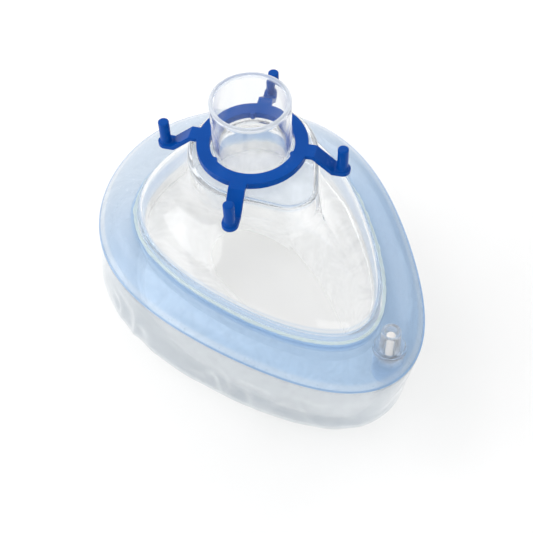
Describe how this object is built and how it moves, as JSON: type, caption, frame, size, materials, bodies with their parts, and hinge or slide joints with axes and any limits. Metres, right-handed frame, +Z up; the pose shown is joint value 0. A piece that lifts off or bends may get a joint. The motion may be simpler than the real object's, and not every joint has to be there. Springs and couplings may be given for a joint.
{
  "type": "air-cushion face mask",
  "caption": "Clear dome face mask with an air cushion, a straight connector, a turning hook ring and a sprung inflation valve.",
  "frame": {"origin": "middle of the footprint, on the surface that the cushion lies on", "axes": "+Z up out of the face, nearly along the connector; +Y from the nose end to the chin end; +X across"},
  "size_m": [0.1036, 0.1386, 0.0975],
  "materials": {
    "clear_shell": "crystal-clear moulded plastic",
    "blue_ring": "royal blue, satin gloss",
    "blue_film": "pale blue translucent soft film",
    "clear_film": "milky clear soft film",
    "adhesive": "cured clear adhesive",
    "soft_tube": "clear soft tube",
    "clear_housing": "clear rigid plastic",
    "white_plunger": "white, matte",
    "seal": "dark elastomer",
    "steel": "drawn stainless wire",
    "retainer": "natural plastic"
  },
  "bodies": {
    "mask": {"shell_dome": "clear_shell", "cushion_top": "blue_film", "cushion_bottom": "clear_film", "bond_bead": "adhesive", "valve_socket": "soft_tube", "valve_body": "clear_housing", "valve_spring": "steel", "valve_retainer": "retainer"},
    "ring": {"hook_ring": "blue_ring"},
    "plunger": {"valve_plunger": "white_plunger", "valve_seal": "seal"}
  },
  "joints": [
    {"name": "ring_turn", "type": "hinge", "parent": "mask", "child": "ring", "pos_m": [0, 0.00824, 0.07814], "axis": [0, 0.0523, 0.9986], "range_deg": [-2.8, 10]},
    {"name": "plunger_press", "type": "slide", "parent": "mask", "child": "plunger", "axis": [0, -0.0523, -0.9986], "range_m": [0, 0.002], "stiffness_N_per_m": 200, "springref_m": -0.002, "deforming": ["valve_spring"]}
  ]
}
